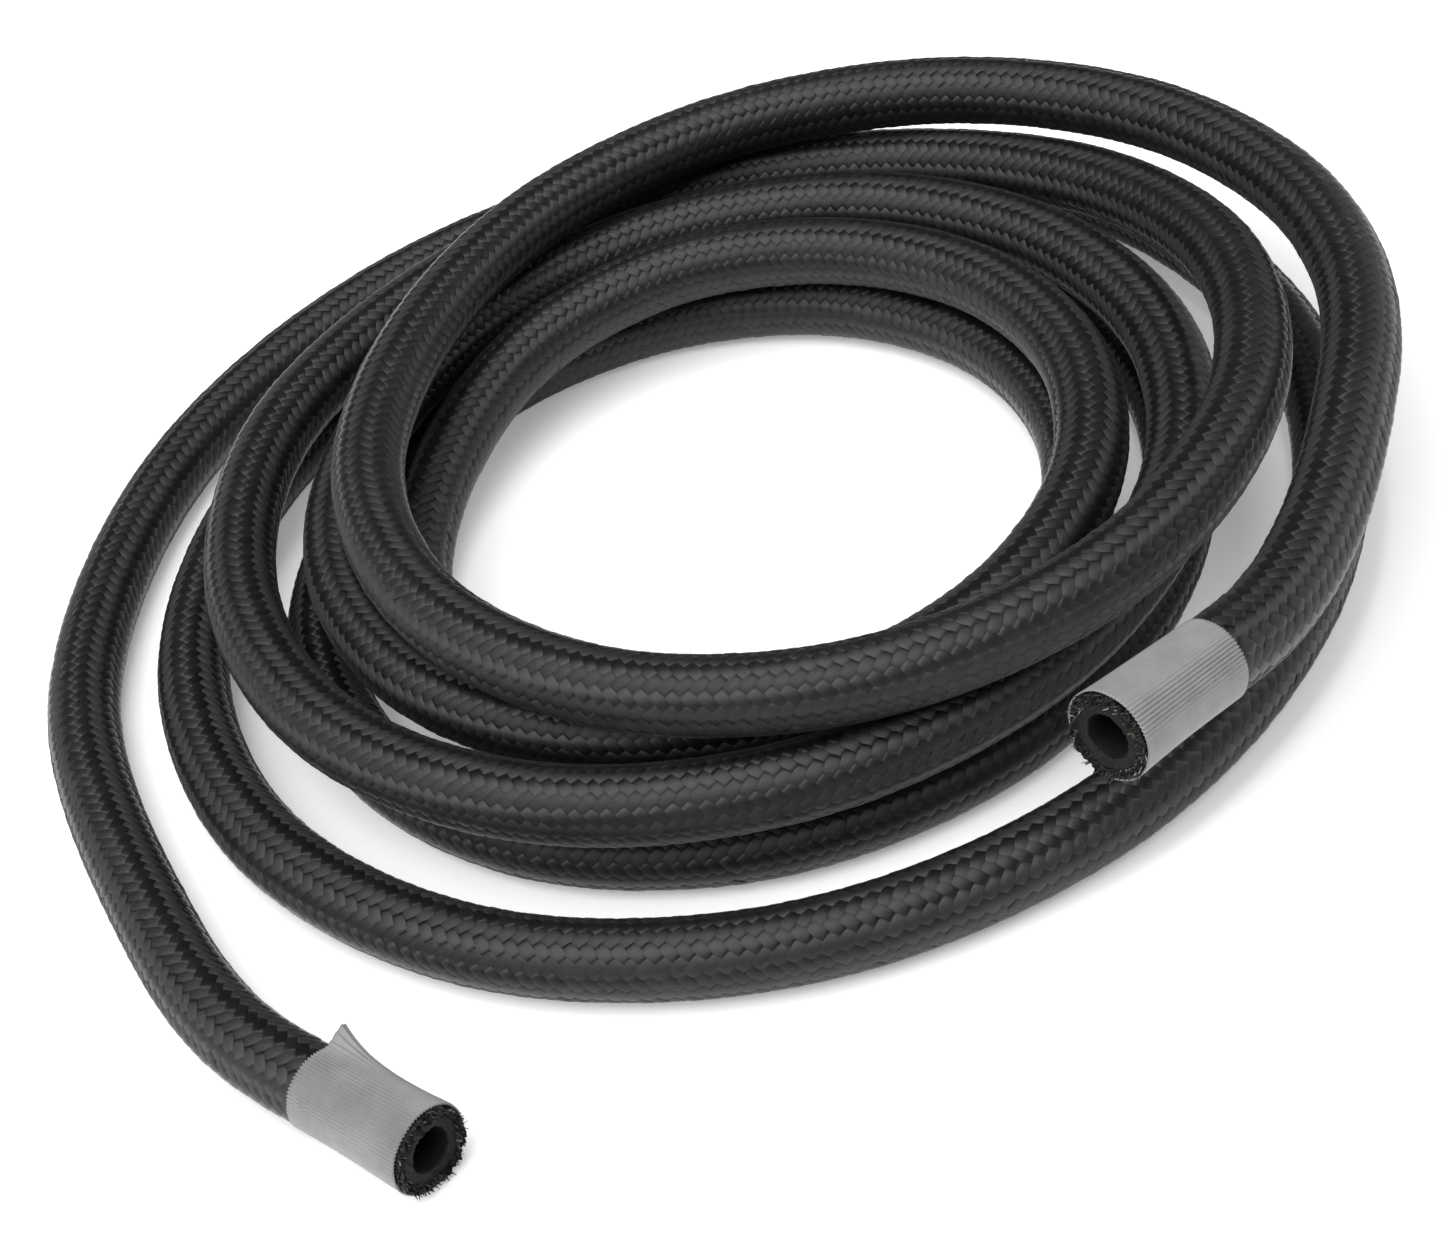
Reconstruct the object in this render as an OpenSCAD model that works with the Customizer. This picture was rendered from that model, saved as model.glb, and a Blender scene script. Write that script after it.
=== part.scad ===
// A length of braided fuel hose lying in a loose coil, both cut ends bound with tape.
// Three concentric layers follow one route: rubber inner tube, yarn reinforcement, nylon cover.
// Millimetres, +Z up, the floor at z = 0, the origin under the middle of the whole coil.

/* [Hose] */
// Bore of the rubber inner tube
bore_d = 6.4; // [5.6:0.1:7.2]
// Outside diameter of the rubber inner tube
tube_d = 9.0; // [8.2:0.1:9.4]
// Outside diameter of the yarn reinforcement
yarn_d = 9.8; // [9.6:0.1:10.4]
// Outside diameter of the nylon cover
cover_d = 11.4; // [11:0.1:11.4]

/* [End wraps] */
// Width of the tape along the hose
tape_w = 20.5; // [12:0.5:23]
// Thickness of the wound tape
tape_t = 0.3; // [0.1:0.05:0.3]
// Length of the free corner of the tape at end B
flag_len = 7; // [4:0.5:10]
// How far the free corner stands off the hose
flag_lift = 3.5; // [2:0.5:5]

/* [Hidden] */

sides = 12;          // sides of the swept stretch
swept_scale = 0.98;  // keeps the swept corners inside the round ends
bore_scale = 1.08;   // opens the swept bore past the round one, so that the bend stays clear
lap = 0.15;          // how far a round end runs into the swept stretch, short so that no corner pokes out
seam_turn = 8;       // turns the seam of a round end away from the swept corners
centre = [3, -2.5];  // the point that the turns go round
first_angle = -30;   // angle of the first station, counter-clockwise from +X
per_turn = 12;       // stations in each turn
stations = 81;       // stations in all
layer = 11.7;        // height of one layer of hose over the next

// End A lies on top of the coil and rises towards its mouth; end B lies on the floor.
mouth_a = [40, -96, 36];
root_a = [61, -81.5, 31.5];
root_b = [-72.5, -86.5, 6];
mouth_b = [-55.5, -105.5, 6.5];

// Each turn as a circle: how far its middle is shifted along X and Y, and its radius.
// The first row leads in from end A and the last leads out to end B.
turns = [
    [22, 2, 90],
    [21, 9, 70],
    [2, 7, 79],
    [3.5, 5, 64],
    [2, 6, 51],
    [-3, 3, 61.5],
    [-2, 4, 84],
    [1, 7, 104],
    [-2, -20, 130],
];

// Where the hose steps down a layer, in turns from the first station: start and end.
steps_down = [[1, 1.28], [3.33, 3.63]];
// How far the hose rises towards end A, and over what part of a turn.
rise_a = 2;
rise_span = 0.25;

function unit(v) = v / norm(v);
function ease(x) = let (c = max(0, min(1, x))) c * c * (3 - 2 * c);
function mix(a, b, f) = a * (1 - f) + b * f;

// The circle that the hose follows at t turns, blended from the middle of one turn to the next.
function circle_at(t) =
    let (u = t + 0.5, k = floor(u))
    mix(turns[k], turns[k + 1], u - k);
function left_above(t, step) = 1 - ease((t - step[0]) / (step[1] - step[0]));
function height_at(t) =
    cover_d / 2 + layer * (left_above(t, steps_down[0]) + left_above(t, steps_down[1]))
    + rise_a * (1 - ease(t / rise_span));
function station(i) =
    let (t = i / per_turn, a = first_angle + 360 * t, c = circle_at(t))
    [centre.x + c[0] + c[2] * cos(a), centre.y + c[1] + c[2] * sin(a), height_at(t)];

swept = concat([root_a], [for (i = [0:stations - 1]) station(i)], [root_b]);
last = len(swept) - 1;

// Direction of the hose at a ring: square to the round ends, along the chord elsewhere.
function along(i) =
    i == 0 ? unit(root_a - mouth_a) :
    i == last ? unit(mouth_b - root_b) :
    unit(swept[i + 1] - swept[i - 1]);

// One ring of the sweep, with a corner straight down so that the hose rests on its lowest line.
function ring(i, r) =
    let (t = along(i), across = unit(cross([0, 0, 1], t)), up = cross(t, across))
    [for (k = [0:sides - 1])
        let (a = 90 + k * 360 / sides)
        swept[i] + r * cos(a) * across + r * sin(a) * up];

function corner(i, k) = i * sides + k % sides;

// The hollow swept stretch between the two round ends.
module swept_layer(r_in, r_out) {
    rings = last + 1;
    outer = [for (i = [0:last]) each ring(i, r_out)];
    inner = [for (i = [0:last]) each ring(i, r_in)];
    inside = rings * sides;
    outer_skin = [for (i = [0:last - 1], k = [0:sides - 1]) each [
        [corner(i, k), corner(i + 1, k), corner(i + 1, k + 1)],
        [corner(i, k), corner(i + 1, k + 1), corner(i, k + 1)]]];
    inner_skin = [for (f = outer_skin) [f[2] + inside, f[1] + inside, f[0] + inside]];
    start = [for (k = [0:sides - 1]) each [
        [corner(0, k), corner(0, k + 1), corner(0, k + 1) + inside],
        [corner(0, k), corner(0, k + 1) + inside, corner(0, k) + inside]]];
    finish = [for (k = [0:sides - 1]) each [
        [corner(last, k + 1), corner(last, k), corner(last, k) + inside],
        [corner(last, k + 1), corner(last, k) + inside, corner(last, k + 1) + inside]]];
    polyhedron(points = concat(outer, inner),
               faces = concat(outer_skin, inner_skin, start, finish), convexity = 20);
}

// Stands children on a root point with their Z axis pointing at the mouth.
module at_end(root, mouth) {
    d = unit(mouth - root);
    translate(root) rotate([0, acos(d.z), atan2(d.y, d.x)]) children();
}

module round_tube(r_in, r_out, from, to) {
    rotate([0, 0, seam_turn]) difference() {
        translate([0, 0, from]) cylinder(h = to - from, r = r_out, $fn = 96);
        translate([0, 0, from - 1]) cylinder(h = to - from + 2, r = r_in, $fn = 96);
    }
}

// One layer of the hose: the swept stretch with a true round, straight length at each end.
module hose_layer(d_in, d_out, in_scale = swept_scale) {
    union() {
        swept_layer(in_scale * d_in / 2, swept_scale * d_out / 2);
        at_end(root_a, mouth_a)
            round_tube(d_in / 2, d_out / 2, -lap, norm(mouth_a - root_a));
        at_end(root_b, mouth_b)
            round_tube(d_in / 2, d_out / 2, -lap, norm(mouth_b - root_b));
    }
}

// Tape wound round the last stretch of the cover, flush with the cut.
module tape_wrap(root, mouth) {
    end_len = norm(mouth - root);
    at_end(root, mouth)
        round_tube(cover_d / 2, cover_d / 2 + tape_t, end_len - tape_w, end_len);
}

// The tape's free corner: a thin triangle that stands off the wrap at its rear edge.
module tape_flag(root, mouth) {
    rear = norm(mouth - root) - tape_w;
    at_end(root, mouth)
        translate([-cover_d / 2 - tape_t / 2, tape_t / 2, rear])
        rotate([90, 0, 0])
        linear_extrude(height = tape_t)
        polygon([[0, 0], [0, flag_len], [-flag_lift, 0]]);
}

module inner_tube() {
    color("#2b2b2e") hose_layer(bore_d, tube_d, bore_scale);
}

module yarn_reinforcement() {
    color("#b49a78") hose_layer(tube_d, yarn_d);
}

module nylon_cover() {
    color("#3a383c") hose_layer(yarn_d, cover_d);
}

module end_tape_a() {
    color("#d9dadc") tape_wrap(root_a, mouth_a);
}

module end_tape_b() {
    color("#d0d1d4") union() {
        tape_wrap(root_b, mouth_b);
        tape_flag(root_b, mouth_b);
    }
}

inner_tube();
yarn_reinforcement();
nylon_cover();
end_tape_a();
end_tape_b();
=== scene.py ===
"""A coil of nylon braided fuel hose with both cut ends taped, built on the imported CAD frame."""

import math

import bpy
import numpy as np
from mathutils import Matrix


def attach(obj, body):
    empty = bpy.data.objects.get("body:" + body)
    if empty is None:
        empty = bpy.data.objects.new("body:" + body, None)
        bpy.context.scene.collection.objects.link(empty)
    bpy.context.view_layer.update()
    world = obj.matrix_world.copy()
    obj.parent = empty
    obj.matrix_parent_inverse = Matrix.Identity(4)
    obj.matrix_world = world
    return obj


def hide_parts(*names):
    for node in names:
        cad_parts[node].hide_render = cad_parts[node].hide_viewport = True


MM = 0.001

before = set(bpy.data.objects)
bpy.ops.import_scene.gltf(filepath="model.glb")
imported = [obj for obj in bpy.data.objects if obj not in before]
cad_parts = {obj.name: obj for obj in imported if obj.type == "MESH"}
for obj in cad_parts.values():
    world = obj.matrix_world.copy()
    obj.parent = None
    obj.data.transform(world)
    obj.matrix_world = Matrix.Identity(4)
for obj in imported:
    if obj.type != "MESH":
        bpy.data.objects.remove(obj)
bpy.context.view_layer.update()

# ---------------------------------------------------------------- the hose's sizes, in millimetres
BORE_R = 3.2
LINER_R = 4.5
YARN_R = 4.9
COVER_R = 5.7
# The lowest that any part of the hose comes to the floor.
FLOOR_GAP = 0.02

# The tube under the braid: distance between its rings, its sides, how far short of each cut it
# stops, how far it stands out past the yarn, and how much wider its bore is than the mouth's.
BODY_STEP, BODY_SIDES, BODY_SHORT = 3, 24, 0.6
BODY_SWELL, BODY_CLEAR = 0.15, 0.2

# ---------------------------------------------------------------- the tapes and the cut ends
TAPE_WIDTH = 20.5
TAPE_THICKNESS = 0.22
# Where the tape starts behind the cut, how far its outside stands off the cover, and how much
# wider it opens at the cut.
TAPE_START, TAPE_OFF, TAPE_FLARE = 0.1, 0.2, 0.42
# Cut fibre and rubber stay inside the tape, out to this radius, until they are past its lip.
LIP_DEPTH = -0.15
LIP_R = COVER_R + 0.14
# How far the free corner of tape B stands off, and the height of a crumple in it.
CORNER_LIFT = 3.2
CRUMPLE = 0.12
# How many ribs would go right round a tape, the points across each, the height of the faint
# ones, and each ribbed band: the way it faces, half its width in radians, its ribs' height.
RIBS = 72
RIB_COLUMNS = 8
FAINT_RIB = 0.008
RIB_BANDS = {
    "a": (((0.45, -0.55, 0.6), 0.36, 0.11), ((-0.2, -0.1, 1.0), 0.7, 0.04)),
    "b": (((0.05, -0.05, 1.0), 1.15, 0.17),),
}
# Which way the free corner and the crumpled patch of the tape face.
CORNER_SIDE = (0.62, 0.5, 0.6)
FOLD_SIDE = (-0.5, -0.6, 0.5)

# Two sets of sixteen yarns cross near the neutral angle, over two and under two.
CARRIERS = 16
BRAID_PITCH = 2.15
BRAID_R = 5.35
# A float is this much longer and wider than its place in the pattern, so that no gap shows.
FLOAT_OVERLAP = 1.2
# How far a float's corners lie below the cover's outside, how high it arches along its length
# and across its width, and how far from a cut the first float starts.
FLOAT_SINK, FLOAT_ARCH, FLOAT_BELLY, FLOAT_SHORT = 0.46, 0.34, 0.12, 0.9
# How much floats differ: in lean (radians), in width (as a share) and in height.
LEAN_SPREAD, WIDTH_SPREAD, HEIGHT_SPREAD = 0.02, 0.03, 0.025
# How far apart two floats may lie in the texture of the yarn, so that no two look the same.
TEXTURE_RANGE = 40
SECTIONS = 8

# ---------------------------------------------------------------- the route, as in the CAD
CENTRE = (3.0, -2.5)
FIRST_ANGLE = -30.0
PER_TURN = 12
STATION_COUNT = 81
LAYER = 11.7
MOUTH_A, ROOT_A = (40.0, -96.0, 36.0), (61.0, -81.5, 31.5)
ROOT_B, MOUTH_B = (-72.5, -86.5, 6.0), (-55.5, -105.5, 6.5)

# Each turn as a circle: how far its middle is shifted along X and Y, and its radius.
TURNS = np.array([
    (22, 2, 90),
    (21, 9, 70),
    (2, 7, 79),
    (3.5, 5, 64),
    (2, 6, 51),
    (-3, 3, 61.5),
    (-2, 4, 84),
    (1, 7, 104),
    (-2, -20, 130),
], float)

# Where the hose steps down a layer, in turns from the first station, and its rise to end A.
STEPS_DOWN = ((1.0, 1.28), (3.33, 3.63))
RISE_A, RISE_SPAN = 2.0, 0.25


def ease(x):
    x = min(max(x, 0.0), 1.0)
    return x * x * (3 - 2 * x)


def station(i):
    """Where the middle of the hose passes at a station, in millimetres."""
    t = i / PER_TURN
    k = int(t + 0.5)
    f = t + 0.5 - k
    x, y, radius = TURNS[k] * (1 - f) + TURNS[k + 1] * f
    layers = sum(1 - ease((t - start) / (end - start)) for start, end in STEPS_DOWN)
    a = math.radians(FIRST_ANGLE + 360 * t)
    return (CENTRE[0] + x + radius * math.cos(a), CENTRE[1] + y + radius * math.sin(a),
            COVER_R + LAYER * layers + RISE_A * (1 - ease(t / RISE_SPAN)))


def unit(v):
    return v / np.linalg.norm(v, axis=-1, keepdims=True)


def route_points():
    """The points that the hose follows, end A first, in millimetres."""
    coil = [station(i) for i in range(STATION_COUNT)]
    return np.array([MOUTH_A, ROOT_A] + coil + [ROOT_B, MOUTH_B])


def smooth_route(step):
    """The route as one smooth line, with a point every step millimetres."""
    p = route_points()
    slope = np.zeros_like(p)
    slope[1:-1] = (p[2:] - p[:-2]) / 2
    slope[1] = unit(p[1] - p[0]) * np.linalg.norm(p[2] - p[1])
    slope[-2] = unit(p[-1] - p[-2]) * np.linalg.norm(p[-2] - p[-3])
    slope[0], slope[-1] = p[1] - p[0], p[-1] - p[-2]
    line = []
    for i in range(len(p) - 1):
        t = np.linspace(0, 1, 60, endpoint=False)[:, None]
        if i in (0, len(p) - 2):
            line.append(p[i] + t * (p[i + 1] - p[i]))
        else:
            line.append((2 * t**3 - 3 * t**2 + 1) * p[i] + (t**3 - 2 * t**2 + t) * slope[i]
                        + (3 * t**2 - 2 * t**3) * p[i + 1] + (t**3 - t**2) * slope[i + 1])
    line = np.vstack(line + [p[-1:]])
    line[:, 2] = np.maximum(line[:, 2], COVER_R)
    run = np.r_[0, np.cumsum(np.linalg.norm(np.diff(line, axis=0), axis=1))]
    count = int(run[-1] / step) + 1
    at = np.linspace(0, run[-1], count)
    return at, np.stack([np.interp(at, run, line[:, k]) for k in range(3)], axis=1)


def frames_along(line):
    """Tangent and two side directions at each point, carried along without twist."""
    tangent = unit(np.gradient(line, axis=0))
    side = np.zeros_like(line)
    side[0] = unit(np.cross((0, 0, 1), tangent[0]))
    for i in range(1, len(line)):
        s = side[i - 1] - tangent[i] * (side[i - 1] @ tangent[i])
        side[i] = s / np.linalg.norm(s)
    return tangent, side, np.cross(tangent, side)


RUN, LINE = smooth_route(0.5)
TANGENT, SIDE, UP = frames_along(LINE)
LENGTH = RUN[-1]


def on_hose(s, angle, radius):
    """Places on the hose: distance from end A, angle round it and radius, in millimetres."""
    s, angle, radius = np.broadcast_arrays(s, angle, radius)
    inside = np.clip(s, 0, LENGTH)
    past = (s - inside)[..., None]
    i = np.clip(inside / (RUN[1] - RUN[0]), 0, len(RUN) - 1.001)
    k = i.astype(int)
    f = (i - k)[..., None]

    def mix(a):
        return a[k] * (1 - f) + a[k + 1] * f

    return (mix(LINE) + past * mix(TANGENT) + radius[..., None]
            * (np.cos(angle)[..., None] * mix(SIDE) + np.sin(angle)[..., None] * mix(UP)))


# ---------------------------------------------------------------- meshes
def add_vectors(mesh, name, values):
    """A named vector on each point of a mesh, for its material."""
    layer = mesh.attributes.new(name, "FLOAT_VECTOR", "POINT")
    layer.data.foreach_set("vector", np.asarray(values, np.float32).ravel())


def add_mesh(name, verts_mm, quads, material, fibre=None):
    """A mesh object from arrays, with an optional vector on each point for its material."""
    mesh = bpy.data.meshes.new(name)
    quads = np.asarray(quads)
    verts_mm = np.array(verts_mm, float)
    verts_mm[:, 2] = np.maximum(verts_mm[:, 2], FLOOR_GAP)
    mesh.vertices.add(len(verts_mm))
    mesh.vertices.foreach_set("co", (verts_mm * MM).astype(np.float32).ravel())
    corners = quads.shape[1]
    mesh.loops.add(quads.size)
    mesh.loops.foreach_set("vertex_index", quads.ravel().astype(np.int32))
    mesh.polygons.add(len(quads))
    mesh.polygons.foreach_set("loop_start", np.arange(0, quads.size, corners, dtype=np.int32))
    mesh.polygons.foreach_set("use_smooth", np.ones(len(quads), bool))
    mesh.update(calc_edges=True)
    if fibre is not None:
        add_vectors(mesh, "fibre", fibre)
    mesh.materials.append(material)
    obj = bpy.data.objects.new(name, mesh)
    bpy.context.scene.collection.objects.link(obj)
    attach(obj, "root")
    return obj


def grid_quads(rows, cols, closed_cols=False, closed_rows=False):
    """Quads of a grid of points, row by row."""
    r = np.arange(rows if closed_rows else rows - 1)
    c = np.arange(cols if closed_cols else cols - 1)
    r, c = np.meshgrid(r, c, indexing="ij")
    r2, c2 = (r + 1) % rows, (c + 1) % cols
    return np.stack([r * cols + c, r * cols + c2, r2 * cols + c2, r2 * cols + c], -1).reshape(-1, 4)


# ---------------------------------------------------------------- materials
def material(name):
    mat = bpy.data.materials.new(name)
    mat.use_nodes = True
    nodes = mat.node_tree.nodes
    return mat, nodes, mat.node_tree.links, nodes["Principled BSDF"]


def ramp(nodes, stops):
    node = nodes.new("ShaderNodeValToRGB")
    while len(node.color_ramp.elements) < len(stops):
        node.color_ramp.elements.new(0.5)
    for element, (place, colour) in zip(node.color_ramp.elements, stops):
        element.position = place
        element.color = (*colour, 1)
    return node


def noise(nodes, links, vector, scale, detail=4.0, roughness=0.5):
    node = nodes.new("ShaderNodeTexNoise")
    node.inputs["Scale"].default_value = scale
    node.inputs["Detail"].default_value = detail
    node.inputs["Roughness"].default_value = roughness
    links.new(vector, node.inputs["Vector"])
    return node


def mapped(nodes, links, vector, scale):
    node = nodes.new("ShaderNodeMapping")
    node.inputs["Scale"].default_value = scale
    links.new(vector, node.inputs["Vector"])
    return node.outputs["Vector"]


def set_colour(nodes, links, shader, source, stops):
    shade = ramp(nodes, stops)
    links.new(source, shade.inputs["Fac"])
    links.new(shade.outputs["Color"], shader.inputs["Base Color"])
    return shade


def set_roughness(nodes, links, shader, source, low, high):
    rough = nodes.new("ShaderNodeMapRange")
    rough.inputs["To Min"].default_value = low
    rough.inputs["To Max"].default_value = high
    links.new(source, rough.inputs["Value"])
    links.new(rough.outputs["Result"], shader.inputs["Roughness"])


def set_bump(nodes, links, shader, source, strength, distance):
    bump = nodes.new("ShaderNodeBump")
    bump.inputs["Strength"].default_value = strength
    bump.inputs["Distance"].default_value = distance
    links.new(source, bump.inputs["Height"])
    links.new(bump.outputs["Normal"], shader.inputs["Normal"])


def named_vector(nodes, name):
    """The vector of that name that a mesh carries on its points."""
    node = nodes.new("ShaderNodeAttribute")
    node.attribute_name = name
    return node.outputs["Vector"]


def own_shade(nodes, links, fibre):
    """The number that each strand or float has for its own shade, from 0 to 1."""
    split = nodes.new("ShaderNodeSeparateXYZ")
    links.new(fibre, split.inputs[0])
    return split.outputs["Z"]


def braid_material():
    """Black nylon yarn: fine filaments along each float, a satin gloss, each float its own shade."""
    mat, nodes, links, shader = material("nylon_braid")
    fibre = named_vector(nodes, "fibre")
    drawn_out = mapped(nodes, links, fibre, (7.0, 0.55, 31.0))
    strands = noise(nodes, links, drawn_out, 1.6, 3, 0.6).outputs["Fac"]
    blend = nodes.new("ShaderNodeMix")
    blend.data_type = "FLOAT"
    blend.inputs["Factor"].default_value = 0.5
    links.new(strands, blend.inputs["A"])
    links.new(own_shade(nodes, links, fibre), blend.inputs["B"])
    set_colour(nodes, links, shader, blend.outputs["Result"],
               [(0.0, (0.0018, 0.0017, 0.002)),
                (0.5, (0.004, 0.0036, 0.004)),
                (1.0, (0.014, 0.011, 0.011))])
    set_roughness(nodes, links, shader, strands, 0.3, 0.6)
    set_bump(nodes, links, shader, strands, 0.7, 0.00009)
    # The gloss is drawn out along the filaments, so its tangent runs across the float.
    links.new(named_vector(nodes, "weft"), shader.inputs["Tangent"])
    shader.inputs["Anisotropic"].default_value = 0.75
    shader.inputs["Specular IOR Level"].default_value = 0.5
    shader.inputs["Sheen Weight"].default_value = 0.04
    shader.inputs["Sheen Roughness"].default_value = 0.4
    return mat


def rubber_material():
    """Matt black synthetic rubber with a faint bloom."""
    mat, nodes, links, shader = material("tube_rubber")
    place = nodes.new("ShaderNodeTexCoord").outputs["Object"]
    coarse = noise(nodes, links, place, 420, 5, 0.6).outputs["Fac"]
    fine = noise(nodes, links, place, 2600, 3, 0.6).outputs["Fac"]
    set_colour(nodes, links, shader, coarse,
               [(0.3, (0.003, 0.003, 0.0035)), (0.75, (0.011, 0.0105, 0.011))])
    set_roughness(nodes, links, shader, fine, 0.55, 0.85)
    set_bump(nodes, links, shader, fine, 0.4, 0.0001)
    shader.inputs["Specular IOR Level"].default_value = 0.3
    return mat


def tape_material():
    """Light grey tape: a soft satin film, cloudy and finely grained."""
    mat, nodes, links, shader = material("tape")
    place = nodes.new("ShaderNodeTexCoord").outputs["Object"]
    cloud = noise(nodes, links, place, 160, 4, 0.6).outputs["Fac"]
    grain = noise(nodes, links, place, 3200, 3, 0.6).outputs["Fac"]
    set_colour(nodes, links, shader, cloud,
               [(0.3, (0.2, 0.202, 0.206)), (0.7, (0.27, 0.27, 0.273))])
    set_roughness(nodes, links, shader, grain, 0.4, 0.6)
    set_bump(nodes, links, shader, grain, 0.25, 0.00005)
    return mat


def fibre_material(name, dark, light, roughness):
    """Loose cut fibre: each strand its own shade between two colours."""
    mat, nodes, links, shader = material(name)
    shade = own_shade(nodes, links, named_vector(nodes, "fibre"))
    set_colour(nodes, links, shader, shade, [(0.0, dark), (1.0, light)])
    shader.inputs["Roughness"].default_value = roughness
    return mat


def floor_material():
    """Pale floor that gives off a little light of its own, so that it stays near white."""
    mat, nodes, links, shader = material("floor")
    place = nodes.new("ShaderNodeTexCoord").outputs["Object"]
    cloud = noise(nodes, links, place, 3, 2, 0.5).outputs["Fac"]
    shade = set_colour(nodes, links, shader, cloud,
                       [(0.0, (0.86, 0.86, 0.86)), (1.0, (0.9, 0.9, 0.9))])
    shader.inputs["Roughness"].default_value = 0.9
    links.new(shade.outputs["Color"], shader.inputs["Emission Color"])
    shader.inputs["Emission Strength"].default_value = 0.3
    return mat


BRAID, RUBBER, TAPE = braid_material(), rubber_material(), tape_material()
YARN = fibre_material("yarn", (0.30, 0.22, 0.15), (0.75, 0.72, 0.66), 0.6)
CUT_NYLON = fibre_material("cut_nylon", (0.006, 0.006, 0.007), (0.06, 0.055, 0.055), 0.5)


# ---------------------------------------------------------------- camera
# The photograph's viewpoint in millimetres, how many degrees it looks down, and the lens.
EYE = (-1.5, -317.0, 263.3)
LOOK_DOWN = 41.0
LENS, SENSOR = 64.34, 36.0
# The camera is rolled, so that the floor tilts: sine and cosine of the roll.
ROLL_SIN, ROLL_COS = 0.2692, 0.9631


def make_camera():
    """The camera at the photograph's viewpoint, above the front of the coil."""
    pitch = math.radians(LOOK_DOWN)
    eye = np.array(EYE)
    ahead = np.array([0, math.cos(pitch), -math.sin(pitch)])
    across = np.array([1.0, 0, 0])
    below = np.array([0, -math.sin(pitch), -math.cos(pitch)])
    right = ROLL_COS * across + ROLL_SIN * below
    up = ROLL_SIN * across - ROLL_COS * below
    data = bpy.data.cameras.new("camera")
    data.lens, data.sensor_width = LENS, SENSOR
    data.clip_start, data.clip_end = 0.01, 20.0
    cam = bpy.data.objects.new("camera", data)
    cam.matrix_world = Matrix([
        [right[0], up[0], -ahead[0], eye[0] * MM],
        [right[1], up[1], -ahead[1], eye[1] * MM],
        [right[2], up[2], -ahead[2], eye[2] * MM],
        [0, 0, 0, 1]])
    bpy.context.scene.collection.objects.link(cam)
    bpy.context.scene.camera = cam


make_camera()


# ---------------------------------------------------------------- the hose
def hose_body():
    """The rubber tube with its yarn layer: hollow from one cut to the other."""
    rings, sides = int(LENGTH / BODY_STEP), BODY_SIDES
    s = np.linspace(BODY_SHORT, LENGTH - BODY_SHORT, rings)
    angle = np.arange(sides) * 2 * math.pi / sides
    outer = on_hose(s[:, None], angle[None, :], YARN_R + BODY_SWELL)
    inner = on_hose(s[:, None], angle[None, :], BORE_R + BODY_CLEAR)
    skin = grid_quads(rings, sides, closed_cols=True)
    count = rings * sides
    k = np.arange(sides)
    nxt = (k + 1) % sides
    first = np.stack([k, k + count, nxt + count, nxt], -1)
    base = (rings - 1) * sides
    last = np.stack([base + k, base + nxt, base + nxt + count, base + k + count], -1)
    quads = np.vstack([skin, skin[:, ::-1] + count, first, last])
    verts = np.vstack([outer.reshape(-1, 3), inner.reshape(-1, 3)])
    return add_mesh("hose_body", verts, quads, RUBBER)


def braid_floats(hand):
    """Where each float of one set of yarns lies: distance along the hose and angle round it."""
    columns = CARRIERS // 2
    q = np.arange(columns)
    n = 4 * q + (0.5 if hand > 0 else 2.5)
    angle = math.pi * n / CARRIERS
    first = (n * BRAID_PITCH / 2) % BRAID_PITCH
    if hand < 0:
        first = (-n * BRAID_PITCH / 2) % BRAID_PITCH
    rows = np.arange(int(LENGTH / BRAID_PITCH))
    s = first[:, None] + rows[None, :] * BRAID_PITCH
    return s.ravel(), np.repeat(angle, len(rows))


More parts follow.
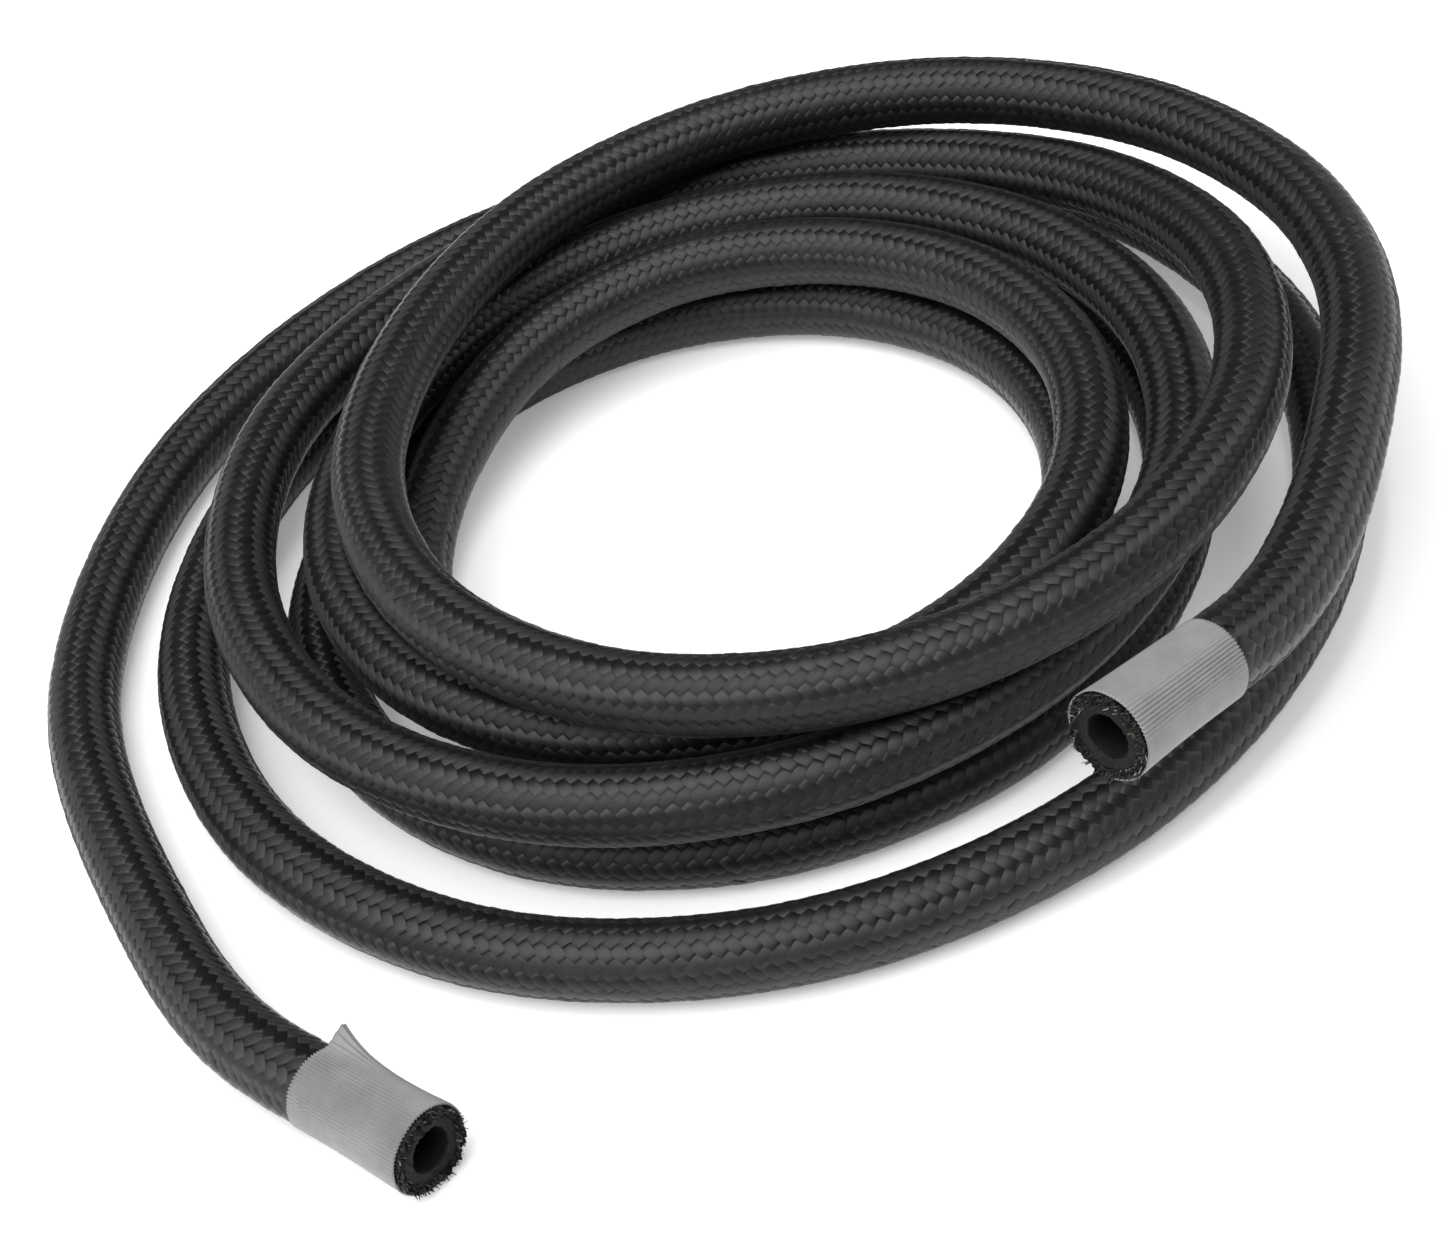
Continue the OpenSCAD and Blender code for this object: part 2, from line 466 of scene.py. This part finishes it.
def braid(name, low, high, along=6, across=4):
    """The floats of the cover that lie from low to high along the hose, as raised pillows of yarn."""
    tilt = math.atan2(2 * math.pi * BRAID_R, CARRIERS * BRAID_PITCH)
    reach = BRAID_PITCH / math.cos(tilt) * FLOAT_OVERLAP
    width = BRAID_PITCH * math.sin(tilt) * FLOAT_OVERLAP
    # Both grids are finer towards the edges, where a float bends down most.
    v, u = np.meshgrid(np.sin(np.linspace(-1, 1, along + 1) * math.pi / 2),
                       np.sin(np.linspace(-1, 1, across + 1) * math.pi / 2), indexing="ij")
    verts, data, wefts = [], [], []
    for hand in (1, -1):
        s0, a0 = braid_floats(hand)
        keep = (s0 >= low) & (s0 < high) & (s0 > FLOAT_SHORT) & (s0 < LENGTH - FLOAT_SHORT)
        s0, a0 = s0[keep], a0[keep]
        chance = np.random.default_rng(int(low) + (1 if hand > 0 else 2))
        lean = tilt + chance.normal(0, LEAN_SPREAD, len(s0))
        wide = width / 2 * (1 + chance.normal(0, WIDTH_SPREAD, len(s0)))
        lift = chance.normal(0, HEIGHT_SPREAD, len(s0))
        sin_lean, cos_lean = np.sin(lean)[:, None, None], np.cos(lean)[:, None, None]
        y = (v * reach / 2)[None]
        x = u[None] * wide[:, None, None] * (1 - 0.07 * v[None] ** 2)
        s = s0[:, None, None] + y * cos_lean - x * sin_lean
        a = a0[:, None, None] + hand * (y * sin_lean + x * cos_lean) / BRAID_R
        arch = FLOAT_ARCH * np.maximum(np.cos(v * math.pi / 2), 0) ** 0.35
        belly = FLOAT_BELLY * (1 - np.abs(u) ** 5)
        r = COVER_R - FLOAT_SINK + (arch + belly)[None] + lift[:, None, None]
        p = on_hose(s, a, r)
        weft = np.broadcast_to(unit(p[:, :, -1:] - p[:, :, :1]), p.shape)
        if hand < 0:
            p = p[:, :, ::-1]
        verts.append(p.reshape(-1, 3))
        wefts.append(weft.reshape(-1, 3))
        shade = chance.random(len(s0))[:, None, None]
        apart = (chance.random(len(s0)) * TEXTURE_RANGE)[:, None, None]
        fibre = np.broadcast_arrays(u[None] + apart, v[None] + apart, shade)
        data.append(np.stack(fibre, -1).reshape(-1, 3))
    verts, data = np.vstack(verts), np.vstack(data)
    per = (along + 1) * (across + 1)
    patch = grid_quads(along + 1, across + 1)
    quads = (patch[None] + (np.arange(len(verts) // per) * per)[:, None, None]).reshape(-1, 4)
    piece = add_mesh(name, verts, quads, BRAID, data)
    add_vectors(piece.data, "weft", np.vstack(wefts))
    return piece


BODY = hose_body()
EDGES = np.linspace(0, LENGTH + 1, SECTIONS + 1)
COVER = [braid(f"nylon_braid_{i + 1}", EDGES[i], EDGES[i + 1]) for i in range(SECTIONS)]


# ---------------------------------------------------------------- ends
def end_place(end, depth, angle, radius):
    """A place near a cut end: depth back from the cut, angle round the hose and radius."""
    depth = np.asarray(depth, float)
    return on_hose(depth if end == "a" else LENGTH - depth, angle, radius)


def turn_towards(end, direction):
    """The angle round the hose, at one end, that faces a direction."""
    i = 0 if end == "a" else -1
    return math.atan2(np.dot(direction, UP[i]), np.dot(direction, SIDE[i]))


def away(turn, centre):
    """Angle from a centre line, the short way round."""
    return (turn - centre + math.pi) % (2 * math.pi) - math.pi


def free_corner(turn, back):
    """How far tape B stands off where its corner has come free, narrowing towards its tip."""
    side = away(turn, turn_towards("b", CORNER_SIDE))
    return CORNER_LIFT * back**3.4 * np.exp(-(side / (0.44 - 0.26 * back)) ** 2)


def crumpled_patch(turn, depth):
    """Small slanting folds near the rear edge of tape B."""
    fold = away(turn, turn_towards("b", FOLD_SIDE))
    fade = np.exp(-(fold / 0.3) ** 2 - ((depth - 18) / 3) ** 2)
    return CRUMPLE * np.sin(4.5 * depth + 9 * fold) * fade


def tape_shape(end, turn, depth):
    """Outside radius of the wound tape, ribbed along the hose and opening towards the cut."""
    back = depth / TAPE_WIDTH
    height = FAINT_RIB
    for facing, half_width, rise in RIB_BANDS[end]:
        height = height + rise * np.exp(-(away(turn, turn_towards(end, facing)) / half_width) ** 4)
    ribs = height * np.cos(turn * RIBS)
    flare = TAPE_FLARE * (1 - back) ** 2.2
    slack = 0.05 * np.sin(3 * turn + depth * 0.12) + 0.03 * np.sin(7 * turn - depth * 0.3)
    shape = COVER_R + TAPE_OFF + flare + ribs + slack
    if end == "b":
        shape = shape + free_corner(turn, back)
        shape = shape + crumpled_patch(turn, depth)
    return shape


def tape(end):
    """The tape wound round one end: a ribbed shell with thickness."""
    rows, cols = 60, RIBS * RIB_COLUMNS
    depth, turn = np.meshgrid(np.linspace(TAPE_START, TAPE_WIDTH, rows),
                              np.arange(cols) * 2 * math.pi / cols, indexing="ij")
    outer_r = tape_shape(end, turn, depth)
    outer = end_place(end, depth, turn, outer_r)
    inner = end_place(end, depth, turn, outer_r - TAPE_THICKNESS)
    verts = np.vstack([outer.reshape(-1, 3), inner[::-1].reshape(-1, 3)])
    quads = grid_quads(2 * rows, cols, closed_cols=True, closed_rows=True)
    if end == "b":
        quads = quads[:, ::-1]
    return add_mesh(f"ribbed_tape_{end}", verts, quads, TAPE)


def mouth_face(end):
    """The cut face and the start of the bore: the rubber's ring, then crushed fibre out to the tape."""
    rings, cols = 26, 180
    share = np.linspace(0, 1, rings)
    turn = np.arange(cols) * 2 * math.pi / cols
    radius = BORE_R + (COVER_R + 0.3 - BORE_R) * share
    chance = np.random.default_rng(31 if end == "a" else 32)
    rough = chance.normal(0, 1, (rings, cols))
    for _ in range(2):
        rough = (rough + np.roll(rough, 1, 1) + np.roll(rough, -1, 1)) / 3 * 1.25
    fray = np.clip((radius - LINER_R) / 0.5, 0, 1)[:, None]
    wave = 0.12 * np.sin(2 * turn + 1)[None] + 0.07 * np.sin(5 * turn)[None]
    depth = -0.1 + wave + rough * (0.07 + 0.55 * fray)
    r = radius[:, None] + 0.05 * np.sin(4 * turn)[None] + rough * (0.03 + 0.17 * fray)
    r = np.where(depth > LIP_DEPTH, np.minimum(r, LIP_R), r)
    face = end_place(end, depth, turn[None], r)
    bore_depth = np.array([32.0, 12.0, 3.0, 0.8, 0.3])
    bore_r = np.array([BORE_R, BORE_R, BORE_R, BORE_R + 0.01, BORE_R + 0.02]) - 0.02
    bore = end_place(end, bore_depth[:, None], turn[None], bore_r[:, None])
    back = end_place(end, 1.5 + 0 * turn[None], turn[None], np.full((1, cols), COVER_R - 0.1))
    rows = np.vstack([bore.reshape(-1, 3), face.reshape(-1, 3), back.reshape(-1, 3)])
    quads = grid_quads(len(bore_depth) + rings + 1, cols, closed_cols=True)
    if end == "a":
        quads = quads[:, ::-1]
    return add_mesh(f"mouth_{end}", rows, quads, RUBBER)


def tufts(name, end, count, mat, inner, outer, length, thick, spread, seed):
    """Loose cut fibre ends that stand out of the cut face, rooted from inner to outer."""
    chance = np.random.default_rng(seed)
    turn = chance.random(count) * 2 * math.pi
    base_r = inner + (outer - inner) * chance.random(count)
    size = length * (0.4 + 0.9 * chance.random(count))
    lean_r = chance.normal(0.4, spread, count)
    lean_t = chance.normal(0, spread, count)
    steps, sides = 5, 4
    t = np.linspace(0, 1, steps)
    verts = []
    curl = chance.normal(0, 0.6, count)
    w = thick * (0.7 + 0.6 * chance.random(count))
    for i, f in enumerate(t):
        depth = 0.45 - f * size * 1.4
        w = w * (1 - 0.12 * i)
        r = base_r + lean_r * size * f + curl * 0.3 * f * f
        r = np.where(depth > LIP_DEPTH, np.minimum(r, LIP_R - w), r)
        a = turn + (lean_t * size * f + curl * 0.4 * f * f) / base_r
        for k in range(sides):
            q = k * 2 * math.pi / sides
            verts.append(end_place(end, depth, a + w * math.cos(q) / base_r, r + w * math.sin(q)))
    verts = np.array(verts).transpose(1, 0, 2).reshape(-1, 3)
    patch = grid_quads(steps, sides, closed_cols=True)
    cap = np.array([[(steps - 1) * sides + k for k in range(sides)]])
    patch = np.vstack([patch, cap])
    per = steps * sides
    quads = (patch[None] + (np.arange(count) * per)[:, None, None]).reshape(-1, 4)
    shade = np.repeat(chance.random(count), per)
    data = np.stack([shade * 0, shade * 0, shade], -1)
    return add_mesh(name, verts, quads, mat, data)


TAPES = [tape("a"), tape("b")]
MOUTHS = [mouth_face("a"), mouth_face("b")]
# Nylon and yarn by turns, one of each at each end.
for end, seed in (("a", 51), ("b", 61)):
    tufts(f"cut_braid_{end}", end, 380, CUT_NYLON, LINER_R + 0.2, COVER_R + 0.1,
                       length=0.8, thick=0.2, spread=0.25, seed=seed)
    tufts(f"cut_yarn_{end}", end, 64, YARN, LINER_R, COVER_R,
                       length=0.75, thick=0.1, spread=0.4, seed=seed + 1)

for piece in COVER:
    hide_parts("nylon_cover")
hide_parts("inner_tube", "yarn_reinforcement")
for piece, node in zip(TAPES, ("end_tape_a", "end_tape_b")):
    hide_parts(node)


# ---------------------------------------------------------------- floor and light
# Each lamp: its name, its place and the side of its square in metres, and its power in watts.
# All of them face the origin, on the floor under the coil.
LAMPS = (
    ("over", (-0.25, -0.25, 1.2), 1.5, 27),
    ("left", (-1.1, -0.3, 0.5), 0.6, 4),
    ("right", (1.1, 0.1, 0.5), 0.6, 3),
)
SKY_STRENGTH = 0.12


def stage():
    bpy.ops.mesh.primitive_plane_add(size=12, location=(0, 0, 0))
    floor = bpy.context.object
    floor.name = "floor"
    floor.data.materials.append(floor_material())


def area_light(name, place, size, power):
    data = bpy.data.lights.new(name, "AREA")
    data.shape, data.size, data.energy = "SQUARE", size, power
    lamp = bpy.data.objects.new(name, data)
    back = unit(np.array(place, float))
    right = unit(np.cross((0.01, 1, 0), back))
    up = np.cross(back, right)
    rows = [[right[i], up[i], back[i], place[i]] for i in range(3)]
    lamp.matrix_world = Matrix(rows + [[0, 0, 0, 1]])
    bpy.context.scene.collection.objects.link(lamp)


def lights():
    world = bpy.data.worlds.new("studio")
    world.use_nodes = True
    sky = world.node_tree.nodes["Background"]
    sky.inputs["Color"].default_value = (1, 1, 1, 1)
    sky.inputs["Strength"].default_value = SKY_STRENGTH
    bpy.context.scene.world = world
    for lamp in LAMPS:
        area_light(*lamp)
    bpy.context.scene.view_settings.view_transform = "Standard"


stage()
lights()
